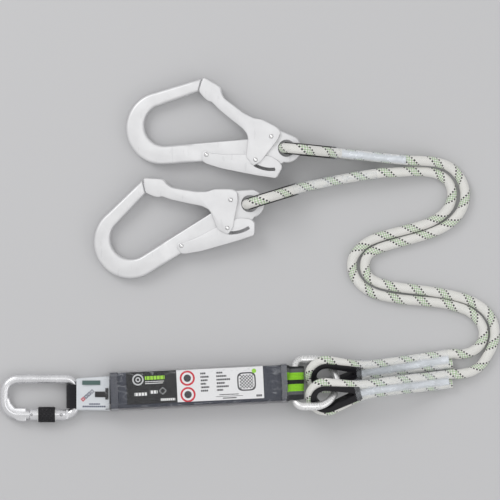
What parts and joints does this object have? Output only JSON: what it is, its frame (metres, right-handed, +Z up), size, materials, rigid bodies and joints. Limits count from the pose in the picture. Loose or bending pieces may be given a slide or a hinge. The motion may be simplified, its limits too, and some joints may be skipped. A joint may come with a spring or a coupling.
{
  "type": "energy absorbing y-lanyard",
  "caption": "Y-shaped fall-arrest lanyard: karabiner, energy absorber pack, ring, rope legs with thimble eyes and locking scaffold hooks.",
  "frame": {"origin": "centre of the underside of the absorber pack, on the surface that the lanyard lies on", "axes": "+X along the pack from the karabiner to the ring, +Y towards the hooks, +Z up"},
  "size_m": [0.6251, 0.4317, 0.0522],
  "materials": {
    "film": "clear film",
    "grey_webbing": "woven",
    "black_webbing": "woven",
    "striped_webbing": "woven, striped",
    "white_cloth": "coated cloth",
    "white_card": "printed card",
    "black_card": "printed card",
    "green_tag": "woven tag",
    "rope": "braided sheath",
    "black_plastic": "satin",
    "steel": "zinc plated",
    "bright_steel": "polished",
    "spring_steel": "drawn wire",
    "hook_metal": "satin"
  },
  "bodies": {
    "pack": {"pack_film": "film", "absorber_webbing": "grey_webbing", "label_panel_dark": "black_card", "label_panel_light": "white_card", "karabiner_webbing_loop": "black_webbing", "ring_webbing_loop": "striped_webbing", "label_sleeve": "white_cloth", "sleeve_tag": "green_tag", "sleeve_tab": "black_card"},
    "karabiner": {"karabiner_frame": "steel", "karabiner_gate_pin": "bright_steel"},
    "karabiner_gate": {"karabiner_gate": "steel", "karabiner_latch_pin": "bright_steel", "karabiner_gate_plunger": "spring_steel", "karabiner_gate_spring": "spring_steel"},
    "lock_sleeve": {"karabiner_lock_sleeve": "bright_steel"},
    "lock_grip": {"karabiner_lock_grip": "black_plastic"},
    "ring_and_ropes": {"webbing_ring": "steel", "rope_a": "rope", "rope_b": "rope", "ring_upper_thimble": "black_plastic", "ring_upper_rope_eye": "rope", "ring_upper_sleeve": "film", "ring_lower_thimble": "black_plastic", "ring_lower_rope_eye": "rope", "ring_lower_sleeve": "film", "hook_1_thimble": "black_plastic", "hook_1_rope_eye": "rope", "hook_1_sleeve": "film", "hook_2_thimble": "black_plastic", "hook_2_rope_eye": "rope", "hook_2_sleeve": "film"},
    "hook_1": {"hook_1_body": "hook_metal", "hook_1_gate_pivot": "bright_steel", "hook_1_lever_pivot": "bright_steel", "hook_1_gate_spring": "spring_steel", "hook_1_lever_spring": "spring_steel"},
    "hook_1_gate": {"hook_1_gate": "hook_metal", "hook_1_lock_rivet_top": "bright_steel", "hook_1_lock_rivet_bottom": "bright_steel"},
    "hook_1_lever": {"hook_1_lock_lever": "hook_metal"},
    "hook_2": {"hook_2_body": "hook_metal", "hook_2_gate_pivot": "bright_steel", "hook_2_lever_pivot": "bright_steel", "hook_2_gate_spring": "spring_steel", "hook_2_lever_spring": "spring_steel"},
    "hook_2_gate": {"hook_2_gate": "hook_metal", "hook_2_lock_rivet_top": "bright_steel", "hook_2_lock_rivet_bottom": "bright_steel"},
    "hook_2_lever": {"hook_2_lock_lever": "hook_metal"}
  },
  "joints": [
    {"name": "karabiner_swing", "type": "hinge", "parent": "pack", "child": "karabiner", "pos_m": [-0.1558, -0.0111, 0.00975], "axis": [0, 1, 0], "range_deg": [-15, 55]},
    {"name": "karabiner_gate_hinge", "type": "hinge", "parent": "karabiner", "child": "karabiner_gate", "pos_m": [-0.1735, -0.0341, 0.00975], "axis": [0, 0, 1], "range_deg": [-25, 0], "stiffness_Nm_per_rad": 0.05, "springref_deg": 17.19},
    {"name": "lock_sleeve_slide", "type": "slide", "parent": "karabiner_gate", "child": "lock_sleeve", "axis": [-1, 0, 0], "range_m": [0, 0.0135]},
    {"name": "lock_grip_spin", "type": "hinge", "parent": "lock_sleeve", "child": "lock_grip", "pos_m": [-0.1917, -0.0341, 0.00975], "axis": [-1, 0, 0], "range_deg": [0, 1080]},
    {"name": "ring_swing", "type": "hinge", "parent": "pack", "child": "ring_and_ropes", "pos_m": [0.119, 0.0061, 0.0238], "axis": [0, 0.8634, -0.5045], "range_deg": [-17, 30]},
    {"name": "hook_1_swing", "type": "hinge", "parent": "ring_and_ropes", "child": "hook_1", "pos_m": [0.1085, 0.2989, 0.0215], "axis": [0, 0, 1], "range_deg": [-50, 2]},
    {"name": "hook_1_gate_hinge", "type": "hinge", "parent": "hook_1", "child": "hook_1_gate", "pos_m": [0.08966, 0.31381, 0.02027], "axis": [-0.0695, -0.0057, 0.9976], "range_deg": [0, 24], "stiffness_Nm_per_rad": 0.1, "springref_deg": -17.19},
    {"name": "hook_1_lever_press", "type": "hinge", "parent": "hook_1", "child": "hook_1_lever", "pos_m": [0.00846, 0.29098, 0.01448], "axis": [-0.0695, -0.0057, 0.9976], "range_deg": [0, 3.5], "stiffness_Nm_per_rad": 0.1, "springref_deg": -17.19},
    {"name": "hook_2_swing", "type": "hinge", "parent": "ring_and_ropes", "child": "hook_2", "pos_m": [0.0625, 0.23, 0.0215], "axis": [0, 0, 1], "range_deg": [-2, 25]},
    {"name": "hook_2_gate_hinge", "type": "hinge", "parent": "hook_2", "child": "hook_2_gate", "pos_m": [0.03894, 0.23469, 0.02027], "axis": [-0.0593, -0.0368, 0.9976], "range_deg": [0, 24], "stiffness_Nm_per_rad": 0.1, "springref_deg": -17.19},
    {"name": "hook_2_lever_press", "type": "hinge", "parent": "hook_2", "child": "hook_2_lever", "pos_m": [-0.02295, 0.17737, 0.01448], "axis": [-0.0593, -0.0368, 0.9976], "range_deg": [0, 3.5], "stiffness_Nm_per_rad": 0.1, "springref_deg": -17.19}
  ],
  "couplings": [
    {"joint": "lock_grip_spin", "follows": "lock_sleeve_slide", "rad_per_m": 1256.6}
  ]
}
